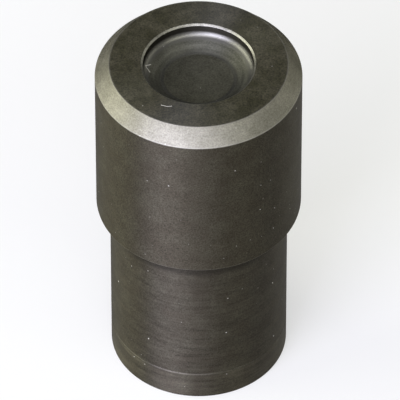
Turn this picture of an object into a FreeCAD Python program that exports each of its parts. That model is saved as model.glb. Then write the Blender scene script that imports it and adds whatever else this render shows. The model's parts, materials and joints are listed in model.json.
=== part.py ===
import FreeCAD, Part

import math
import os

import Sketcher

# Rivet setting die: one piece of tool steel, turned all over from round bar.
# The shank drops into the socket of a press or a bench block down to the shoulder, and the head
# stands out of it. The cup in the head's face holds the rivet's cap while the rivet is set.
# Lengths are in millimetres and angles in degrees. The origin is the centre of the base, and +Z runs up
# the die's axis.

DRIVING_SIZES = (
    ("head_diameter", 15.0, "outside of the head"),
    ("head_height", 13.75, "from the shoulder up to the face"),
    ("bevel_width", 1.02, "how far the bevel round the face reaches in"),
    ("bevel_height", 1.19, "how far the bevel reaches down the head's side"),
    ("shoulder_edge_radius", 0.14, "rounding of the head's lower edge"),
    ("shank_diameter", 13.0, "outside of the shank, a sliding fit in its socket"),
    ("shank_length", 14.45, "from the base up to the shoulder"),
    ("root_radius", 0.2, "fillet that the tool's nose leaves under the shoulder"),
    ("base_edge_break", 0.12, "chamfer round the base"),
    ("line_level", 2.45, "height of the turned line above the base"),
    ("line_width", 0.14, "width of the turned line at the shank's surface"),
    ("line_depth", 0.05, "depth of the turned line"),
    ("cup_diameter", 8.05, "straight wall of the cup, for an 8 mm rivet cap"),
    ("cup_depth", 1.54, "from the face down to the cup's floor"),
    ("cup_flank_width", 1.355, "how far the sloping flank reaches in from the wall to the flat floor"),
    ("cup_flank_angle", 25.5, "how steeply the flank rises from the floor, in degrees"),
    ("cup_floor_round", 1.5, "soft round that leads from the floor into the flank"),
    ("cup_corner_radius", 0.5, "round between the flank and the wall"),
    ("cup_rim_break", 0.13, "chamfer round the cup's mouth"),
)
FULL_TURN = 360.0

# How a sketch numbers the points of its lines and arcs, and its own two axes, which start at its origin
START, END = range(1, 3)
LEVEL_AXIS, UPRIGHT_AXIS = range(-1, -3, -1)
ORIGIN = (LEVEL_AXIS, START)

doc = FreeCAD.newDocument("rivet_setting_die")
sheet = doc.addObject("Spreadsheet::Sheet", "Sizes")
for row, (alias, size, meaning) in enumerate(DRIVING_SIZES, start=1):
    sheet.set(f"A{row}", alias)
    sheet.set(f"B{row}", str(size))
    sheet.setAlias(f"B{row}", alias)
    sheet.set(f"C{row}", meaning)
doc.recompute()

head_radius = sheet.head_diameter / 2
shank_radius = sheet.shank_diameter / 2
cup_radius = sheet.cup_diameter / 2
shoulder_level = sheet.shank_length
face_level = shoulder_level + sheet.head_height


def at(across, up):
    """A point of a half section: its distance from the die's axis and its level."""
    return FreeCAD.Vector(across, up, 0)


def half_section(body, name):
    """An empty sketch on the body's own XZ plane."""
    plane = next(item for item in body.Origin.OriginFeatures if item.Role == "XZ_Plane")
    sketch = body.newObject("Sketcher::SketchObject", name)
    sketch.AttachmentSupport = [(plane, "")]
    sketch.MapMode = "FlatFace"
    return sketch


def draw_lines(sketch, corners):
    """Straight lines from each corner to the next, joined end to end."""
    for start, end in zip(corners, corners[1:]):
        line = sketch.addGeometry(Part.LineSegment(start, end), False)
        if start is not corners[0]:
            relate(sketch, "Coincident", line - 1, END, line, START)


def draw_arc(sketch, centre, start, end):
    """An arc that runs the short way from start to end, anticlockwise about its centre."""
    radius = (start - centre).Length
    middle = centre + ((start + end) / 2 - centre).normalize() * radius
    return sketch.addGeometry(Part.Arc(start, middle, end), False)


def relate(sketch, kind, *where):
    """A constraint that has no size, such as Horizontal, Vertical, Tangent or Coincident."""
    sketch.addConstraint(Sketcher.Constraint(kind, *where))


def dimension(sketch, kind, formula, *where):
    """A constraint whose size, a length or an angle, follows a formula of the driving sizes."""
    size = float(sketch.evalExpression(formula))
    if kind == "Angle":
        size = math.radians(size)
    index = sketch.addConstraint(Sketcher.Constraint(kind, *where, size))
    sketch.setExpression(f"Constraints[{index}]", formula)


def turn(body, kind, name, sketch):
    """Revolves a half section a full turn round the die's axis, as a Revolution or a Groove."""
    volume_before = body.Shape.Volume if body.Tip else 0.0
    feature = body.newObject(kind, name)
    feature.Profile = sketch
    feature.ReferenceAxis = (sketch, ["V_Axis"])
    feature.Angle = FULL_TURN
    doc.recompute()
    if kind == "PartDesign::Groove" and body.Shape.Volume >= volume_before:
        raise RuntimeError(f"{name} cuts nothing")


def ring_edge(shape, radius, level):
    """The name of the shape's round edge that lies nearest to that radius and level."""

    def distance(numbered):
        circle = numbered[1].Curve
        return abs(circle.Radius - radius) + abs(circle.Center.z - level)

    rings = [
        (number, edge)
        for number, edge in enumerate(shape.Edges, start=1)
        if not edge.Degenerated and isinstance(edge.Curve, Part.Circle)
    ]
    return f"Edge{min(rings, key=distance)[0]}"


def dress_ring(body, kind, name, size_property, alias, radius, level):
    """A Fillet or a Chamfer on the round edge at that radius and level."""
    base = body.Tip
    feature = body.newObject(kind, name)
    feature.Base = (base, [ring_edge(base.Shape, radius, level)])
    feature.setExpression(size_property, f"Sizes.{alias}")
    doc.recompute()


# The outside: base, shank, shoulder, head, bevel and face
die = doc.addObject("PartDesign::Body", "die_body")
die.Label = "die_body"
outside = half_section(die, "outside_section")
base_middle = at(0, 0)
draw_lines(
    outside,
    [
        base_middle,
        at(shank_radius, 0),
        at(shank_radius, shoulder_level),
        at(head_radius, shoulder_level),
        at(head_radius, face_level - sheet.bevel_height),
        at(head_radius - sheet.bevel_width, face_level),
        at(0, face_level),
        base_middle,
    ],
)
BASE, SHANK, SHOULDER, HEAD, BEVEL, FACE, AXIS = range(7)
relate(outside, "Coincident", AXIS, END, BASE, START)
relate(outside, "Coincident", BASE, START, *ORIGIN)
for level_line in (BASE, SHOULDER, FACE):
    relate(outside, "Horizontal", level_line)
for upright_line in (SHANK, HEAD, AXIS):
    relate(outside, "Vertical", upright_line)
dimension(outside, "DistanceX", "Sizes.shank_diameter / 2", *ORIGIN, SHANK, START)
dimension(outside, "DistanceY", "Sizes.shank_length", SHANK, START, SHANK, END)
dimension(outside, "DistanceX", "Sizes.head_diameter / 2", *ORIGIN, HEAD, START)
dimension(outside, "DistanceY", "Sizes.head_height", HEAD, START, BEVEL, END)
dimension(outside, "DistanceX", "Sizes.bevel_width", BEVEL, END, BEVEL, START)
dimension(outside, "DistanceY", "Sizes.bevel_height", BEVEL, START, BEVEL, END)
turn(die, "PartDesign::Revolution", "outside_turned", outside)

# The cup: a chamfered rim, a straight wall and a flank that slopes down to the flat floor. One round
# runs smoothly from the wall into the flank, and a softer one from the flank into the floor.
slope = math.radians(sheet.cup_flank_angle)
along_flank = at(math.cos(slope), math.sin(slope))
flank_foot = at(cup_radius - sheet.cup_flank_width, face_level - sheet.cup_depth)
flank_head = flank_foot + along_flank * (sheet.cup_flank_width / math.cos(slope))
floor_round_reach = sheet.cup_floor_round * math.tan(slope / 2)
corner_reach = sheet.cup_corner_radius * math.tan((math.pi / 2 - slope) / 2)
floor_edge = flank_foot - at(floor_round_reach, 0)
flank_start = flank_foot + along_flank * floor_round_reach
flank_end = flank_head - along_flank * corner_reach
wall_foot = flank_head + at(0, corner_reach)
cup = half_section(die, "cup_section")
draw_lines(
    cup,
    [
        floor_edge,
        at(0, floor_edge.y),
        at(0, face_level),
        at(cup_radius + sheet.cup_rim_break, face_level),
        at(cup_radius, face_level - sheet.cup_rim_break),
        wall_foot,
    ],
)
FLOOR, MIDDLE, MOUTH, RIM, WALL = range(5)
flank = cup.addGeometry(Part.LineSegment(flank_start, flank_end), False)
floor_round = draw_arc(cup, floor_edge + at(0, sheet.cup_floor_round), floor_edge, flank_start)
corner = draw_arc(cup, wall_foot - at(sheet.cup_corner_radius, 0), flank_end, wall_foot)
relate(cup, "Tangent", floor_round, START, FLOOR, START)
relate(cup, "Tangent", floor_round, END, flank, START)
relate(cup, "Tangent", flank, END, corner, START)
relate(cup, "Tangent", corner, END, WALL, END)
relate(cup, "PointOnObject", MIDDLE, START, UPRIGHT_AXIS)
relate(cup, "PointOnObject", MIDDLE, END, UPRIGHT_AXIS)
relate(cup, "Horizontal", FLOOR)
relate(cup, "Horizontal", MOUTH)
relate(cup, "Vertical", WALL)
dimension(cup, "DistanceY", "Sizes.shank_length + Sizes.head_height", *ORIGIN, MOUTH, START)
dimension(cup, "DistanceX", "Sizes.cup_diameter / 2", *ORIGIN, WALL, START)
dimension(cup, "DistanceX", "Sizes.cup_rim_break", RIM, END, RIM, START)
dimension(cup, "DistanceY", "Sizes.cup_rim_break", RIM, END, RIM, START)
dimension(cup, "DistanceY", "Sizes.cup_depth", MIDDLE, START, MIDDLE, END)
dimension(cup, "Angle", "Sizes.cup_flank_angle * 1 deg", flank)
flank_foot_across = "Sizes.cup_diameter / 2 - Sizes.cup_flank_width"
round_reach = "Sizes.cup_floor_round * tan(Sizes.cup_flank_angle * 0.5 deg)"
dimension(cup, "DistanceX", f"{flank_foot_across} - {round_reach}", *ORIGIN, FLOOR, START)
dimension(cup, "Radius", "Sizes.cup_floor_round", floor_round)
dimension(cup, "Radius", "Sizes.cup_corner_radius", corner)
turn(die, "PartDesign::Groove", "cup_turned", cup)

# The turned line round the shank: a fine V, drawn twice as large so that half stands outside the shank
line_point = at(shank_radius - sheet.line_depth, sheet.line_level)
line = half_section(die, "line_section")
draw_lines(
    line,
    [
        line_point,
        line_point + at(2 * sheet.line_depth, -sheet.line_width),
        line_point + at(2 * sheet.line_depth, sheet.line_width),
        line_point,
    ],
)
LOWER_FLANK, OPEN_SIDE, UPPER_FLANK = range(3)
relate(line, "Coincident", UPPER_FLANK, END, LOWER_FLANK, START)
relate(line, "Vertical", OPEN_SIDE)
dimension(line, "DistanceX", "Sizes.shank_diameter / 2 - Sizes.line_depth", *ORIGIN, LOWER_FLANK, START)
dimension(line, "DistanceX", "2 * Sizes.line_depth", LOWER_FLANK, START, LOWER_FLANK, END)
dimension(line, "DistanceY", "Sizes.line_level", *ORIGIN, LOWER_FLANK, START)
dimension(line, "DistanceY", "Sizes.line_width", LOWER_FLANK, END, LOWER_FLANK, START)
dimension(line, "DistanceY", "Sizes.line_width", UPPER_FLANK, END, UPPER_FLANK, START)
turn(die, "PartDesign::Groove", "line_turned", line)

# The edges that the tool's nose and the file leave
FILLET = ("PartDesign::Fillet", "Radius")
CHAMFER = ("PartDesign::Chamfer", "Size")
for name, (kind, size_property), alias, radius, level in (
    ("shoulder_root", FILLET, "root_radius", shank_radius, shoulder_level),
    ("shoulder_edge", FILLET, "shoulder_edge_radius", head_radius, shoulder_level),
    ("base_edge", CHAMFER, "base_edge_break", shank_radius, 0),
):
    dress_ring(die, kind, name, size_property, alias, radius, level)

# Nothing is written unless every feature built and the die is one sound solid
for item in doc.Objects:
    if "Invalid" in item.State or "Error" in item.State:
        raise RuntimeError(f"{item.Label} failed to build: {item.State}")
shape = die.Shape
if shape.isNull() or not shape.isValid() or len(shape.Solids) != 1:
    raise RuntimeError(f"{die.Label} is not one valid solid")

os.makedirs("parts", exist_ok=True)
shape.exportStep(f"parts/{die.Label}.step")
height = shape.optimalBoundingBox(False).ZLength
print(f"{die.Label}: {shape.Volume:.2f} mm3, {height:.2f} mm tall, {len(shape.Faces)} faces")
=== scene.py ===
import json
import math

import bmesh
import bpy
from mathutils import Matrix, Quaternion, Vector


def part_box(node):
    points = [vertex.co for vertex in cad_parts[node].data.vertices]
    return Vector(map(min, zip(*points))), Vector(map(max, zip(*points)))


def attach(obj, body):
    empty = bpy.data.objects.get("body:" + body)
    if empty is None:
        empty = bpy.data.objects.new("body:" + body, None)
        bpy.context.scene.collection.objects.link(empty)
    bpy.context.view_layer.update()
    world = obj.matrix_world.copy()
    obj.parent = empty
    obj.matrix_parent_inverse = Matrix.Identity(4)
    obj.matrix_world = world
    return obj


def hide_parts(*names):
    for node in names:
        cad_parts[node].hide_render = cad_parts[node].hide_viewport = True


# A rivet setting die, turned on one piece of steel: dark oxide over fine turning marks,
# with the bevel and the rim of the cup turned bright.
# Azimuth 0 is the side towards the camera and grows to the right.

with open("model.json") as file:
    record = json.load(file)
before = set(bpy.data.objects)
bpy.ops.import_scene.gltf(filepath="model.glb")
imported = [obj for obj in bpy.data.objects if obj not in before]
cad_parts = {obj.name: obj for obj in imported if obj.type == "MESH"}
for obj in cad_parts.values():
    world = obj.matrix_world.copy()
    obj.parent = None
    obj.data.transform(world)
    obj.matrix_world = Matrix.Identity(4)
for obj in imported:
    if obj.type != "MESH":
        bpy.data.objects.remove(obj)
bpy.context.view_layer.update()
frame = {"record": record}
mm = 0.001
print("frame loaded")


# The die's own shape, in millimetres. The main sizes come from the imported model.

mounts = {mount["name"]: mount for mount in frame["record"]["mounts"]}
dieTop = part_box("die_body")[1] / mm

dieShape = {
    "headRadius": dieTop.x,
    "faceLevel": dieTop.z,
    "shankRadius": mounts["shank"]["dims"]["r_mm"],
    "shoulderLevel": mounts["shoulder_seat"]["pos_m"][2] / mm,
    "cupRadius": mounts["cap_seat"]["dims"]["r_mm"],
    "bevelReach": 1.02,       # in from the head's side
    "bevelDrop": 1.19,        # down from the face
    "cupDepth": 1.54,
    "flankWidth": 1.355,      # the cup's sloping flank, in from the wall to the flat floor
    "flankAngle": 25.5,       # in degrees
    "floorRound": 1.5,        # between the floor and the flank
    "cornerRadius": 0.5,      # between the flank and the wall
    "darkWallReach": 0.015,   # how far in from the wall the corner is still dark
    "rimBreak": 0.13,
    "baseBreak": 0.12,
    "lineLevel": 2.45,        # the fine turned line round the shank
    "lineWidth": 0.14,
    "lineDepth": 0.05,
    "rootRadius": 0.2,        # fillet under the shoulder
    "shoulderEdge": 0.14,
    "bevelEdge": 0.06,        # worn rounding of the bevel's two edges
    "rimEdge": 0.025,
    "baseEdge": 0.05,
    "stepsRound": 288,
    "floorRoundSteps": 8,
    "cornerSteps": 12,
    "edgeSteps": 4,
    "sharpAngle": 25,         # in degrees; edges that turn by more stay sharp
}

# three small distances, in millimetres
closeTo = 0.001               # a vertex nearer than this to a place lies on it
mergeWithin = 0.00001         # vertices nearer than this to each other become one
finishSlack = 0.01            # how far past a level its finish still reaches


def lineTo(profile, fromVert, across, up):
    toVert = profile.verts.new((across, 0, up))
    profile.edges.new((fromVert, toVert))
    return toVert


def arcTo(profile, fromVert, centre, turn, steps):
    # a vertex spun about the arc's own centre; a positive turn carries it from +Z towards +X
    swept = bmesh.ops.spin(profile, geom=[fromVert], cent=(centre[0], 0, centre[1]), axis=(0, 1, 0),
                           angle=turn, steps=steps)
    return next(item for item in swept["geom_last"] if isinstance(item, bmesh.types.BMVert))


def drawProfile(profile, size):
    bevelFoot = size["faceLevel"] - size["bevelDrop"]
    lineHalf = size["lineWidth"] / 2

    # the cup from its middle outwards: flat floor, soft round, sloping flank, corner, straight wall, rim
    floorLevel = size["faceLevel"] - size["cupDepth"]
    slope = math.radians(size["flankAngle"])
    floorEdge = size["cupRadius"] - size["flankWidth"] - size["floorRound"] * math.tan(slope / 2)
    flankHead = floorLevel + size["flankWidth"] * math.tan(slope)
    cornerReach = size["cornerRadius"] * math.tan((math.pi / 2 - slope) / 2)
    tip = profile.verts.new((0, 0, floorLevel))
    tip = lineTo(profile, tip, floorEdge, floorLevel)
    tip = arcTo(profile, tip, (floorEdge, floorLevel + size["floorRound"]), -slope, size["floorRoundSteps"])
    tip = lineTo(profile, tip, size["cupRadius"] - cornerReach * math.cos(slope),
                 flankHead - cornerReach * math.sin(slope))
    cornerMiddle = (size["cupRadius"] - size["cornerRadius"], flankHead + cornerReach)
    tip = arcTo(profile, tip, cornerMiddle, slope - math.pi / 2, size["cornerSteps"])
    tip = lineTo(profile, tip, size["cupRadius"], size["faceLevel"] - size["rimBreak"])
    tip = lineTo(profile, tip, size["cupRadius"] + size["rimBreak"], size["faceLevel"])

    # the outside, from the face down to the base
    for across, up in (
        (size["headRadius"] - size["bevelReach"], size["faceLevel"]),
        (size["headRadius"], bevelFoot),
        (size["headRadius"], size["shoulderLevel"]),
        (size["shankRadius"], size["shoulderLevel"]),
        (size["shankRadius"], size["lineLevel"] + lineHalf),
        (size["shankRadius"] - size["lineDepth"], size["lineLevel"]),
        (size["shankRadius"], size["lineLevel"] - lineHalf),
        (size["shankRadius"], size["baseBreak"]),
        (size["shankRadius"] - size["baseBreak"], 0),
        (0, 0),
    ):
        tip = lineTo(profile, tip, across, up)


def roundRing(die, across, up, radius, steps):
    # rounds the ring of edges at that radius and level to a true arc
    def onRing(vert):
        return math.hypot(math.hypot(vert.co.x, vert.co.y) - across, vert.co.z - up) < closeTo

    ring = [edge for edge in die.edges if onRing(edge.verts[0]) and onRing(edge.verts[1])]
    turn = ring[0].calc_face_angle()
    bmesh.ops.bevel(die, geom=ring, offset=radius * math.tan(turn / 2), offset_type="OFFSET",
                    segments=steps, profile=0.5, affect="EDGES", material=-1)


def finishOf(face, size):
    # which finish a face has, by where its middle lies on the section
    middle = face.calc_center_median()
    across, up = math.hypot(middle.x, middle.y), middle.z
    if across < size["cupRadius"] + size["rimBreak"] + size["rimEdge"] and up > size["shoulderLevel"]:
        if up > size["faceLevel"] - size["rimBreak"] - size["rimEdge"]:
            return "brightRim"
        if across > size["cupRadius"] - size["darkWallReach"]:
            return "cupWall"
        return "cupFloor" if up < size["faceLevel"] - size["cupDepth"] + finishSlack else "cupFlank"
    if up > size["faceLevel"] - closeTo:
        return "blackenedFace"
    bevelEnd = size["faceLevel"] - size["bevelDrop"] - size["bevelEdge"]
    if up > bevelEnd and across < size["headRadius"] - closeTo:
        return "brightBevel"
    if up > size["shoulderLevel"] - finishSlack:
        return "blackenedHead"
    if up > size["lineLevel"] - size["lineWidth"] / 2:
        return "blackenedShank"
    return "blackenedFoot" if up > closeTo else "blackenedFace"


def makeDie(size, finishes):
    die = bmesh.new()
    drawProfile(die, size)
    bmesh.ops.spin(die, geom=die.verts[:] + die.edges[:], cent=(0, 0, 0), axis=(0, 0, 1),
                   angle=math.tau, steps=size["stepsRound"], use_merge=True)
    bmesh.ops.remove_doubles(die, verts=die.verts, dist=mergeWithin)
    bmesh.ops.recalc_face_normals(die, faces=die.faces)

    bevelFoot = size["faceLevel"] - size["bevelDrop"]
    for across, up, radius in (
        (size["shankRadius"], size["shoulderLevel"], size["rootRadius"]),
        (size["headRadius"], size["shoulderLevel"], size["shoulderEdge"]),
        (size["headRadius"], bevelFoot, size["bevelEdge"]),
        (size["headRadius"] - size["bevelReach"], size["faceLevel"], size["bevelEdge"]),
        (size["cupRadius"] + size["rimBreak"], size["faceLevel"], size["rimEdge"]),
        (size["cupRadius"], size["faceLevel"] - size["rimBreak"], size["rimEdge"]),
        (size["shankRadius"], size["baseBreak"], size["baseEdge"]),
        (size["shankRadius"] - size["baseBreak"], 0, size["baseEdge"]),
    ):
        roundRing(die, across, up, radius, size["edgeSteps"])

    names = list(finishes)
    for face in die.faces:
        face.smooth = True
        face.material_index = names.index(finishOf(face, size))
    bmesh.ops.scale(die, vec=(mm, mm, mm), verts=die.verts)

    mesh = bpy.data.meshes.new("turnedDie")
    die.to_mesh(mesh)
    die.free()
    mesh.set_sharp_from_angle(angle=math.radians(size["sharpAngle"]))
    for finish in finishes.values():
        mesh.materials.append(finish)
    piece = bpy.data.objects.new("turnedDie", mesh)
    bpy.context.scene.collection.objects.link(piece)

    # keeps the wide faces flat up to their edges
    flatter = piece.modifiers.new("flatFaces", "WEIGHTED_NORMAL")
    flatter.keep_sharp = True
    flatter.weight = 100
    return piece


# Node helpers

def addNode(tree, kind, **settings):
    node = tree.nodes.new(kind)
    for name, value in settings.items():
        setattr(node, name, value)
    return node


def feed(tree, node, **inputs):
    # a value or an output for each socket, by name with _ for a space, or by number as i0, i1 and so on
    for name, value in inputs.items():
        socket = node.inputs[int(name[1:])] if name[1:].isdigit() else node.inputs[name.replace("_", " ")]
        if isinstance(value, bpy.types.NodeSocket):
            tree.links.new(value, socket)
        else:
            socket.default_value = value
    return node


def calc(tree, operation, first, second=0.0, third=0.0, clamp=False):
    node = addNode(tree, "ShaderNodeMath", operation=operation, use_clamp=clamp)
    return feed(tree, node, i0=first, i1=second, i2=third).outputs[0]


def vectorCalc(tree, operation, first, second=(0, 0, 0), **inputs):
    node = addNode(tree, "ShaderNodeVectorMath", operation=operation)
    return feed(tree, node, i0=first, i1=second, **inputs)


def mixColours(tree, share, first, second):
    node = addNode(tree, "ShaderNodeMix", data_type="RGBA")
    return feed(tree, node, i0=share, i6=first, i7=second).outputs[2]


def between(tree, value, low, high, toLow=0.0, toHigh=1.0):
    # smooth step from toLow to toHigh while the value goes from low to high
    node = addNode(tree, "ShaderNodeMapRange", interpolation_type="SMOOTHSTEP")
    return feed(tree, node, Value=value, From_Min=low, From_Max=high, To_Min=toLow, To_Max=toHigh).outputs[0]


def startGroup(name, inputs, outputs):
    tree = bpy.data.node_groups.new(name, "ShaderNodeTree")
    for socketName, value in inputs.items():
        kind = "NodeSocketColor" if isinstance(value, tuple) else "NodeSocketFloat"
        tree.interface.new_socket(socketName, in_out="INPUT", socket_type=kind).default_value = value
    for socketName, kind in outputs.items():
        tree.interface.new_socket(socketName, in_out="OUTPUT", socket_type=kind)
    return tree, tree.nodes.new("NodeGroupInput"), tree.nodes.new("NodeGroupOutput")


def useGroup(tree, group, **inputs):
    node = addNode(tree, "ShaderNodeGroup", node_tree=group)
    return feed(tree, node, **inputs)


def pointOnDie(tree):
    # the point on the die, in millimetres
    coordinates = addNode(tree, "ShaderNodeTexCoord")
    inMillimetres = addNode(tree, "ShaderNodeMapping")
    feed(tree, inMillimetres, Vector=coordinates.outputs["Object"], Scale=(1 / mm, 1 / mm, 1 / mm))
    return inMillimetres.outputs[0]


def ringPlace(tree, point):
    # a point's distance from the die's axis, and its height
    flat = vectorCalc(tree, "MULTIPLY", point, (1, 1, 0))
    across = vectorCalc(tree, "LENGTH", flat.outputs[0])
    height = feed(tree, addNode(tree, "ShaderNodeSeparateXYZ"), i0=point)
    return across.outputs["Value"], height.outputs["Z"]


# Effects that several finishes share

def makeTurningMarks():
    # fine rings left by the tool: they change quickly across the cut and slowly along it
    tree, given, result = startGroup(
        "turningMarks", {"Per mm": 8.0, "Along": 0.4, "Detail": 3.0}, {"Height": "NodeSocketFloat"})
    point = pointOnDie(tree)
    across, up = ringPlace(tree, point)
    split = feed(tree, addNode(tree, "ShaderNodeSeparateXYZ"), i0=point)
    ringed = addNode(tree, "ShaderNodeCombineXYZ")
    feed(tree, ringed, X=calc(tree, "MULTIPLY", split.outputs[0], given.outputs["Along"]),
         Y=calc(tree, "MULTIPLY", split.outputs[1], given.outputs["Along"]),
         Z=calc(tree, "MULTIPLY", across, given.outputs["Per mm"]))
    marks = addNode(tree, "ShaderNodeTexNoise", noise_dimensions="4D")
    feed(tree, marks, Vector=ringed.outputs[0], W=calc(tree, "MULTIPLY", up, given.outputs["Per mm"]),
         Scale=1.0, Detail=given.outputs["Detail"], Roughness=0.65)
    feed(tree, result, Height=marks.outputs[0])
    return tree


def makeOxideClouds():
    # slow change of tint over the oxide
    tree, given, result = startGroup(
        "oxideClouds", {"Size mm": 2.0, "Sharpness": 0.5}, {"Cloud": "NodeSocketFloat"})
    point = pointOnDie(tree)
    clouds = addNode(tree, "ShaderNodeTexNoise")
    feed(tree, clouds, Vector=point, Scale=calc(tree, "DIVIDE", 1.0, given.outputs["Size mm"]), Detail=4.0,
         Roughness=0.6)
    # the sharper the clouds, the nearer both ends of their step come to the noise's middle
    spread = calc(tree, "MULTIPLY_ADD", given.outputs["Sharpness"], -0.45, 0.5)
    cloud = between(tree, clouds.outputs[0], spread, calc(tree, "SUBTRACT", 1.0, spread))
    feed(tree, result, Cloud=cloud)
    return tree


def makeRingWearAndPaintedLight():
    # a mask along one ring round the die, broken up by small noise: worn bare metal on some edges, painted
    # highlights and painted shade on others
    tree, given, result = startGroup(
        "ringWearAndPaintedLight", {"Across mm": 7.5, "Up mm": 27.0, "Width mm": 0.08, "Breakup": 0.5},
        {"Wear": "NodeSocketFloat"})
    point = pointOnDie(tree)
    across, up = ringPlace(tree, point)
    off = calc(tree, "SUBTRACT", across, given.outputs["Across mm"])
    over = calc(tree, "SUBTRACT", up, given.outputs["Up mm"])
    distance = calc(tree, "SQRT", calc(tree, "MULTIPLY_ADD", off, off, calc(tree, "MULTIPLY", over, over)))
    nibbles = addNode(tree, "ShaderNodeTexNoise")
    feed(tree, nibbles, Vector=point, Scale=3.0, Detail=5.0, Roughness=0.7)
    reach = calc(tree, "MULTIPLY_ADD", calc(tree, "SUBTRACT", nibbles.outputs[0], 0.5),
                 calc(tree, "MULTIPLY", given.outputs["Breakup"], 2.0), 1.0)
    reach = calc(tree, "MULTIPLY", reach, given.outputs["Width mm"])
    share = calc(tree, "DIVIDE", distance, reach)
    fadeFrom, goneAt = 0.45, 1.1    # shares of the width
    feed(tree, result, Wear=between(tree, share, fadeFrom, goneAt, 1.0, 0.0))
    return tree


def makeDust():
    # pale specks, each a small spot round its own cell's point, and only some of the cells have one
    tree, given, result = startGroup(
        "dustSpecks", {"Apart mm": 0.85, "Size mm": 0.06, "Share": 0.5}, {"Speck": "NodeSocketFloat"})
    point = pointOnDie(tree)
    cells = addNode(tree, "ShaderNodeTexVoronoi", feature="F1")
    feed(tree, cells, Vector=point, Scale=calc(tree, "DIVIDE", 1.0, given.outputs["Apart mm"]),
         Randomness=1.0)
    picked = feed(tree, addNode(tree, "ShaderNodeSeparateColor"), i0=cells.outputs["Color"])
    leastSize, sizeSpread = 0.5, 0.7            # shares of the size given
    leastStrength, strengthSpread = 0.2, 0.8
    fadeFrom = 0.6                              # share of a speck's reach
    reach = calc(tree, "DIVIDE", given.outputs["Size mm"], given.outputs["Apart mm"])
    reach = calc(tree, "MULTIPLY", reach,
                 calc(tree, "MULTIPLY_ADD", picked.outputs[2], sizeSpread, leastSize))
    near = between(tree, cells.outputs["Distance"], calc(tree, "MULTIPLY", reach, fadeFrom), reach, 1.0, 0.0)
    kept = calc(tree, "LESS_THAN", picked.outputs[0], given.outputs["Share"])
    strength = calc(tree, "MULTIPLY_ADD", calc(tree, "POWER", picked.outputs[1], 2.0), strengthSpread,
                    leastStrength)
    feed(tree, result, Speck=calc(tree, "MULTIPLY", calc(tree, "MULTIPLY", near, kept), strength))
    return tree


def makeStroke():
    # a short pale fibre lying between two points of the plan
    tree, given, result = startGroup(
        "lintStroke", {"From X": 0.0, "From Y": 0.0, "To X": 1.0, "To Y": 0.0, "Width mm": 0.06},
        {"Stroke": "NodeSocketFloat"})
    point = pointOnDie(tree)
    flat = vectorCalc(tree, "MULTIPLY", point, (1, 1, 0))
    start = addNode(tree, "ShaderNodeCombineXYZ")
    feed(tree, start, X=given.outputs["From X"], Y=given.outputs["From Y"])
    end = addNode(tree, "ShaderNodeCombineXYZ")
    feed(tree, end, X=given.outputs["To X"], Y=given.outputs["To Y"])
    away = vectorCalc(tree, "SUBTRACT", flat.outputs[0], start.outputs[0])
    run = vectorCalc(tree, "SUBTRACT", end.outputs[0], start.outputs[0])

    # the nearest point of the run, as a share of it, then how far off that is
    along = vectorCalc(tree, "DOT_PRODUCT", away.outputs[0], run.outputs[0])
    whole = vectorCalc(tree, "DOT_PRODUCT", run.outputs[0], run.outputs[0])
    share = calc(tree, "DIVIDE", along.outputs["Value"], whole.outputs["Value"], clamp=True)
    nearest = vectorCalc(tree, "SCALE", run.outputs[0], Scale=share)
    gap = vectorCalc(tree, "DISTANCE", away.outputs[0], nearest.outputs[0])
    half = calc(tree, "MULTIPLY", given.outputs["Width mm"], 0.5)
    core = calc(tree, "MULTIPLY", half, 0.5)
    feed(tree, result, Stroke=between(tree, gap.outputs["Value"], core, half, 1.0, 0.0))
    return tree


def makeGrain():
    # the very fine sparkle of a satin cut, as small as the picture can show
    tree, given, result = startGroup("satinGrain", {"Size mm": 0.11}, {"Grain": "NodeSocketFloat"})
    point = pointOnDie(tree)
    grain = addNode(tree, "ShaderNodeTexNoise")
    feed(tree, grain, Vector=point, Scale=calc(tree, "DIVIDE", 1.0, given.outputs["Size mm"]), Detail=1.0,
         Roughness=0.5)
    feed(tree, result, Grain=grain.outputs[0])
    return tree


turningMarks = makeTurningMarks()
oxideClouds = makeOxideClouds()
ringWearAndPaintedLight = makeRingWearAndPaintedLight()
dustSpecks = makeDust()
satinGrain = makeGrain()
lintStroke = makeStroke()


# The finishes. Colours are linear.

dustColour = (0.62, 0.6, 0.55, 1)

lintStrokes = {    # short fibres of lint, each from one point of the plan to another, in millimetres
    "blackenedFace": (((-2.68, -4.25), (-2.26, -4.39)), ((-2.26, -4.39), (-1.92, -4.36))),
    "cupFlank": (((-3.45, 1.02), (-3.84, 0.74)), ((-3.84, 0.74), (-3.52, 0.28))),
}

# rings round the die: worn bare metal at some edges, painted highlights and painted shade at others
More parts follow.
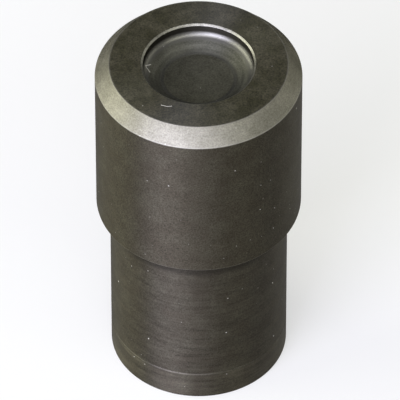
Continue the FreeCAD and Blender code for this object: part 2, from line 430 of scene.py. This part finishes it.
wornAndPaintedRings = {
    "bevelFoot": {
        "across": dieShape["headRadius"], "up": dieShape["faceLevel"] - dieShape["bevelDrop"],
        "width": 0.08, "breakup": 0.9, "strength": 0.4, "smoother": 0.0, "colour": (0.36, 0.345, 0.31, 1),
    },
    "bevelHead": {
        "across": dieShape["headRadius"] - dieShape["bevelReach"], "up": dieShape["faceLevel"],
        "width": 0.08, "breakup": 0.9, "strength": 0.25, "smoother": 0.0, "colour": (0.34, 0.325, 0.29, 1),
    },
    # painted highlight: a faint pale line along the head's lower edge, for the highlight on its rounding
    "shoulderEdge": {
        "across": dieShape["headRadius"] - 0.04, "up": dieShape["shoulderLevel"] + 0.04,
        "width": 0.11, "breakup": 1.2, "strength": 0.10, "smoother": 0.0, "colour": (0.30, 0.285, 0.25, 1),
    },
    # painted shadow: a dark band on the shank just under the shoulder, where the head's shadow falls
    "shoulderPaintedShadow": {
        "across": dieShape["shankRadius"], "up": dieShape["shoulderLevel"] - 0.7,
        "width": 1.05, "breakup": 0.2, "strength": 0.55, "smoother": 0.0, "colour": (0.018, 0.016, 0.014, 1),
    },
    # painted highlight: a faint pale line along the turned groove for its glint; the lower roughness there is
    # the groove's real gloss
    "witnessLine": {
        "across": dieShape["shankRadius"], "up": dieShape["lineLevel"] - 0.02,
        "width": 0.08, "breakup": 1.3, "strength": 0.12, "smoother": 0.9, "colour": (0.34, 0.325, 0.29, 1),
    },
    # bright metal in the cup's corner, widened to carry the corner's highlight: partly bare steel, partly a
    # painted highlight
    "cupCorner": {
        "across": dieShape["cupRadius"] - 0.18, "up": dieShape["faceLevel"] - 0.90,
        "width": 0.36, "breakup": 0.15, "strength": 1.0, "smoother": 0.08, "colour": (0.215, 0.21, 0.195, 1),
    },
    # painted highlight: a pale ring where the floor meets the flank, for the glint there
    "cupRingPaintedGlint": {
        "across": dieShape["cupRadius"] - dieShape["flankWidth"],
        "up": dieShape["faceLevel"] - dieShape["cupDepth"] + 0.04,
        "width": 0.14, "breakup": 1.2, "strength": 0.22, "smoother": 0.3, "colour": (0.30, 0.295, 0.28, 1),
    },
}

finishLooks = {
    "blackenedHead": {
        "rings": ("bevelFoot", "shoulderEdge"),
        "dark": (0.0535, 0.0466, 0.0342, 1), "light": (0.0668, 0.0608, 0.0448, 1), "metal": 1.0, "gloss": 0.5,
        "cloudSize": 1.5, "marks": 4.5, "along": 1.2, "marksTint": 0.22, "bump": 0.10,
        "roughness": 0.59, "anisotropy": 0.88, "grain": 0.76, "dust": 0.95, "tint": 0.9,
    },
    "blackenedShank": {
        "rings": ("shoulderPaintedShadow", "witnessLine"),
        "dark": (0.0530, 0.0463, 0.0353, 1), "light": (0.0670, 0.0612, 0.0467, 1), "metal": 1.0, "gloss": 0.5,
        "cloudSize": 1.5, "marks": 4.0, "along": 0.4, "marksTint": 0.68, "bump": 0.15,
        "roughness": 0.59, "anisotropy": 0.88, "grain": 0.6, "dust": 0.8, "tint": 0.9,
    },
    # the same oxide as the shank with a lighter tint: painted reflection of the floor near the base; its
    # coarser turning marks are its own
    "blackenedFoot": {
        "rings": ("witnessLine",),
        "dark": (0.062, 0.0545, 0.0415, 1), "light": (0.080, 0.0730, 0.0555, 1), "metal": 1.0, "gloss": 0.5,
        "cloudSize": 1.5, "marks": 2.6, "along": 0.25, "marksTint": 0.85, "bump": 0.15,
        "roughness": 0.55, "anisotropy": 0.93, "grain": 0.5, "dust": 0.8, "tint": 0.9,
    },
    "blackenedFace": {
        "rings": ("bevelHead",),
        "dark": (0.026, 0.0245, 0.013, 1), "light": (0.050, 0.046, 0.030, 1), "metal": 0.0, "gloss": 0.46,
        "cloudSize": 1.1, "marks": 5.0, "along": 0.6, "marksTint": 0.30, "bump": 0.08,
        "roughness": 0.59, "anisotropy": 0.9, "grain": 1.1, "dust": 0.9, "tint": 1.0,
    },
    "brightBevel": {
        "rings": ("bevelFoot", "bevelHead"),
        "dark": (0.214, 0.205, 0.168, 1), "light": (0.278, 0.267, 0.224, 1), "metal": 1.0, "gloss": 0.5,
        "cloudSize": 1.4, "marks": 6.0, "along": 1.0, "marksTint": 0.34, "bump": 0.06,
        "roughness": 0.57, "anisotropy": 0.2, "grain": 0.42, "dust": 0.2, "tint": 0.0,
    },
    "brightRim": {
        "rings": (),
        "dark": (0.22, 0.213, 0.19, 1), "light": (0.34, 0.33, 0.30, 1), "metal": 1.0, "gloss": 0.5,
        "cloudSize": 0.7, "marks": 8.0, "along": 1.5, "marksTint": 0.3, "bump": 0.04,
        "roughness": 0.44, "anisotropy": 0.2, "grain": 0.5, "dust": 0.0, "tint": 0.5,
    },
    "cupWall": {
        "rings": ("cupCorner",),
        "dark": (0.036, 0.034, 0.028, 1), "light": (0.046, 0.043, 0.036, 1), "metal": 1.0, "gloss": 0.5,
        "cloudSize": 1.2, "marks": 12.0, "along": 0.4, "marksTint": 0.3, "bump": 0.06,
        "roughness": 0.55, "anisotropy": 0.5, "grain": 0.10, "dust": 0.2, "tint": 0.3,
    },
    "cupFlank": {
        "rings": ("cupCorner", "cupRingPaintedGlint"),
        "dark": (0.168, 0.166, 0.140, 1), "light": (0.202, 0.200, 0.170, 1), "metal": 1.0, "gloss": 0.5,
        "cloudSize": 1.6, "marks": 3.6, "along": 0.35, "marksTint": 0.75, "bump": 0.12,
        "roughness": 0.52, "anisotropy": 0.42, "grain": 0.4, "dust": 0.6, "tint": 0.4,
    },
    "cupFloor": {
        "rings": ("cupRingPaintedGlint",),
        "dark": (0.186, 0.182, 0.142, 1), "light": (0.234, 0.229, 0.182, 1), "metal": 1.0, "gloss": 0.5,
        "cloudSize": 1.6, "marks": 5.0, "along": 0.8, "marksTint": 0.20, "bump": 0.05,
        "roughness": 0.52, "anisotropy": 0.1, "grain": 0.5, "dust": 0.8, "tint": 0.4,
    },
}

finishBasics = {
    "marksRoughness": 0.2,     # how far the turning marks change the roughness
    "dustRoughness": 0.4,
    "grainInBump": 0.3,
    "bumpDepth": 0.02 * mm,
    "glossTurn": 0.25,         # a quarter turn, so that the gloss stretches across the marks
}


def ringTangent(tree):
    # the direction round the die, from which the gloss takes its stretch
    coordinates = addNode(tree, "ShaderNodeTexCoord")
    alongRing = vectorCalc(tree, "CROSS_PRODUCT", (0, 0, 1), coordinates.outputs["Object"])
    unit = vectorCalc(tree, "NORMALIZE", alongRing.outputs[0])
    toWorld = addNode(tree, "ShaderNodeVectorTransform", vector_type="VECTOR", convert_from="OBJECT",
                      convert_to="WORLD")
    return feed(tree, toWorld, i0=unit.outputs[0]).outputs[0]


def makeFinish(name, look, basics):
    material = bpy.data.materials.new(name)
    material.use_nodes = True
    tree = material.node_tree
    tree.nodes.clear()
    shader = addNode(tree, "ShaderNodeBsdfPrincipled")
    output = addNode(tree, "ShaderNodeOutputMaterial")
    tree.links.new(shader.outputs[0], output.inputs[0])

    marks = useGroup(tree, turningMarks, Per_mm=look["marks"], Along=look["along"]).outputs[0]
    cloud = useGroup(tree, oxideClouds, Size_mm=look["cloudSize"]).outputs[0]
    grain = useGroup(tree, satinGrain).outputs[0]

    # colour: clouds between the two tints, then marks and grain lighten and darken it
    base = mixColours(tree, cloud, look["dark"], look["light"])
    shade = calc(tree, "MULTIPLY_ADD", calc(tree, "SUBTRACT", marks, 0.5), 2 * look["marksTint"], 1.0)
    shade = calc(tree, "MULTIPLY_ADD", calc(tree, "SUBTRACT", grain, 0.5), 2 * look["grain"], shade)
    shaded = vectorCalc(tree, "SCALE", base, Scale=shade)

    # the rings: worn bare metal, painted highlights and painted shade, then dust over all
    colour = shaded.outputs[0]
    rough = calc(tree, "MULTIPLY_ADD", calc(tree, "SUBTRACT", marks, 0.5), basics["marksRoughness"],
                 look["roughness"])
    metal = look["metal"]
    for ringName in look["rings"]:
        ring = wornAndPaintedRings[ringName]
        ringMask = useGroup(tree, ringWearAndPaintedLight, Across_mm=ring["across"], Up_mm=ring["up"], Width_mm=ring["width"],
                        Breakup=ring["breakup"]).outputs[0]
        ringMask = calc(tree, "MULTIPLY", ringMask, ring["strength"])
        colour = mixColours(tree, ringMask, colour, ring["colour"])
        rough = calc(tree, "MULTIPLY_ADD", ringMask, -ring["smoother"], rough)
        metal = calc(tree, "MAXIMUM", metal, ringMask)
    speck = useGroup(tree, dustSpecks, Share=look["dust"]).outputs[0]
    for start, end in lintStrokes.get(name, ()):
        stroke = useGroup(tree, lintStroke, From_X=start[0], From_Y=start[1], To_X=end[0], To_Y=end[1])
        speck = calc(tree, "MAXIMUM", speck, stroke.outputs[0])
    colour = mixColours(tree, speck, colour, dustColour)
    rough = calc(tree, "MULTIPLY_ADD", speck, basics["dustRoughness"], rough, clamp=True)
    metal = calc(tree, "MULTIPLY", metal, calc(tree, "SUBTRACT", 1.0, speck))

    bump = addNode(tree, "ShaderNodeBump")
    feed(tree, bump, Strength=look["bump"], Distance=basics["bumpDepth"],
         Height=calc(tree, "ADD", marks, calc(tree, "MULTIPLY", grain, basics["grainInBump"])))
    feed(tree, shader, Base_Color=colour, Roughness=rough, Metallic=metal, Normal=bump.outputs[0],
         Tangent=ringTangent(tree), Anisotropic=look["anisotropy"], Anisotropic_Rotation=basics["glossTurn"],
         Specular_Tint=(look["tint"],) * 3 + (1,), Specular_IOR_Level=look["gloss"])
    return material


finishes = {name: makeFinish(name, look, finishBasics) for name, look in finishLooks.items()}
print("finishes ready:", ", ".join(finishes))

turnedDie = makeDie(dieShape, finishes)
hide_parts("die_body")
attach(turnedDie, "root")
print("die turned:", len(turnedDie.data.polygons), "faces")


# Floor, light and camera

stageLook = {
    "floorRadius": 2.5,
    "floorSides": 96,
    "floorColour": (0.86, 0.86, 0.85, 1),
    "floorWhiteness": 0.5,       # how far the floor is lifted to plain white where it is seen
    "paperShade": 0.985,         # the darker of the paper's two tints, against the other
    "fibresPerMetre": 900.0,
    "ambient": 0.155,            # light from all round, where white is 1
    "lampDistance": 0.63,
}

softBoxes = {
    "keyLight": {
        "azimuth": -35, "elevation": 17, "width": 0.42, "height": 0.33,
        "level": 7.95, "colour": (0.965, 0.965, 1.24),
    },
    "frontLight": {
        "azimuth": -5, "elevation": 24, "width": 0.30, "height": 0.30,
        "level": 2.4, "colour": (0.965, 0.965, 1.24),
    },
    "topLight": {
        "azimuth": -10, "elevation": 42, "width": 0.60, "height": 0.30,
        "level": 2.8, "colour": (0.98, 0.99, 1.03),
    },
    "leftLight": {
        "azimuth": -94, "elevation": 20, "width": 0.66, "height": 0.36,
        "level": 3.3, "colour": (1.0, 1.01, 0.82),
    },
    "rightLight": {
        "azimuth": 46, "elevation": 38, "width": 0.42, "height": 0.30,
        "level": 1.45, "colour": (1.0, 1.01, 0.84),
    },
    "farLight": {
        "azimuth": 108, "elevation": 17, "width": 0.54, "height": 0.30,
        "level": 0.80, "colour": (1.0, 1.01, 0.84),
    },
}

cameraLook = {
    "elevation": 45.39,
    "distance": 577.3 * mm,
    "lens": 708.8,
    "aim": Vector((0.093, 0, 14.2)) * mm,   # the point on the die that the picture is centred on
    "roll": -0.06,
}


def direction(azimuth, elevation):
    turn = math.radians(azimuth)
    rise = math.radians(elevation)
    return Vector((math.sin(turn) * math.cos(rise), -math.cos(turn) * math.cos(rise), math.sin(rise)))


def facing(obj, place, target):
    obj.location = place
    obj.rotation_mode = "QUATERNION"
    obj.rotation_quaternion = (target - place).to_track_quat("-Z", "Y")


def makeFloor(look):
    floorMesh = bmesh.new()
    bmesh.ops.create_circle(floorMesh, cap_ends=True, segments=look["floorSides"],
                            radius=look["floorRadius"])
    mesh = bpy.data.meshes.new("floor")
    floorMesh.to_mesh(mesh)
    floorMesh.free()
    floor = bpy.data.objects.new("floor", mesh)
    bpy.context.scene.collection.objects.link(floor)

    material = bpy.data.materials.new("palePaper")
    material.use_nodes = True
    tree = material.node_tree
    tree.nodes.clear()
    shader = addNode(tree, "ShaderNodeBsdfDiffuse")
    output = addNode(tree, "ShaderNodeOutputMaterial")
    coordinates = addNode(tree, "ShaderNodeTexCoord")
    fibres = addNode(tree, "ShaderNodeTexNoise")
    feed(tree, fibres, Vector=coordinates.outputs["Object"], Scale=look["fibresPerMetre"], Detail=3.0)
    darker = tuple(channel * look["paperShade"] for channel in look["floorColour"][:3]) + (1,)
    feed(tree, shader, Color=mixColours(tree, fibres.outputs[0], darker, look["floorColour"]))

    # the eye, and the gloss of the metal, see the paper part of the way to white; its shadows stay
    white = addNode(tree, "ShaderNodeEmission")
    feed(tree, white, Color=(1, 1, 1, 1), Strength=1.0)
    seenBy = addNode(tree, "ShaderNodeLightPath")
    seen = calc(tree, "ADD", seenBy.outputs["Is Camera Ray"], seenBy.outputs["Is Glossy Ray"])
    seen = calc(tree, "ADD", seen, seenBy.outputs["Is Transmission Ray"], clamp=True)
    blend = addNode(tree, "ShaderNodeMixShader")
    feed(tree, blend, i0=calc(tree, "MULTIPLY", seen, look["floorWhiteness"]), i1=shader.outputs[0],
         i2=white.outputs[0])
    tree.links.new(blend.outputs[0], output.inputs[0])
    mesh.materials.append(material)


def makeWorld(look):
    world = bpy.data.worlds.new("studio")
    world.use_nodes = True
    tree = world.node_tree
    tree.nodes.clear()
    background = addNode(tree, "ShaderNodeBackground")
    output = addNode(tree, "ShaderNodeOutputWorld")
    feed(tree, background, Color=(1, 1, 1, 1), Strength=look["ambient"])
    tree.links.new(background.outputs[0], output.inputs[0])
    bpy.context.scene.world = world


def makeSoftBox(name, box, target, distance):
    lamp = bpy.data.lights.new(name, "AREA")
    lamp.shape = "RECTANGLE"
    lamp.size, lamp.size_y = box["width"], box["height"]
    lamp.color = box["colour"]
    # a lamp is as bright as its energy over 4 times its area, and level 1 is plain white
    lamp.energy = box["level"] * 4 * box["width"] * box["height"]
    obj = bpy.data.objects.new(name, lamp)
    bpy.context.scene.collection.objects.link(obj)
    facing(obj, target + direction(box["azimuth"], box["elevation"]) * distance, target)


def makeCamera(look):
    data = bpy.data.cameras.new("camera")
    data.lens = look["lens"]
    camera = bpy.data.objects.new("camera", data)
    bpy.context.scene.collection.objects.link(camera)
    facing(camera, look["aim"] + direction(0, look["elevation"]) * look["distance"], look["aim"])
    camera.rotation_quaternion @= Quaternion((0, 0, 1), math.radians(look["roll"]))
    bpy.context.scene.camera = camera


dieMiddle = Vector((0, 0, dieShape["faceLevel"] / 2 * mm))
makeFloor(stageLook)
makeWorld(stageLook)
for name, box in softBoxes.items():
    makeSoftBox(name, box, dieMiddle, stageLook["lampDistance"])
makeCamera(cameraLook)
bpy.context.scene.view_settings.view_transform = "Standard"
print("stage, light and camera set")
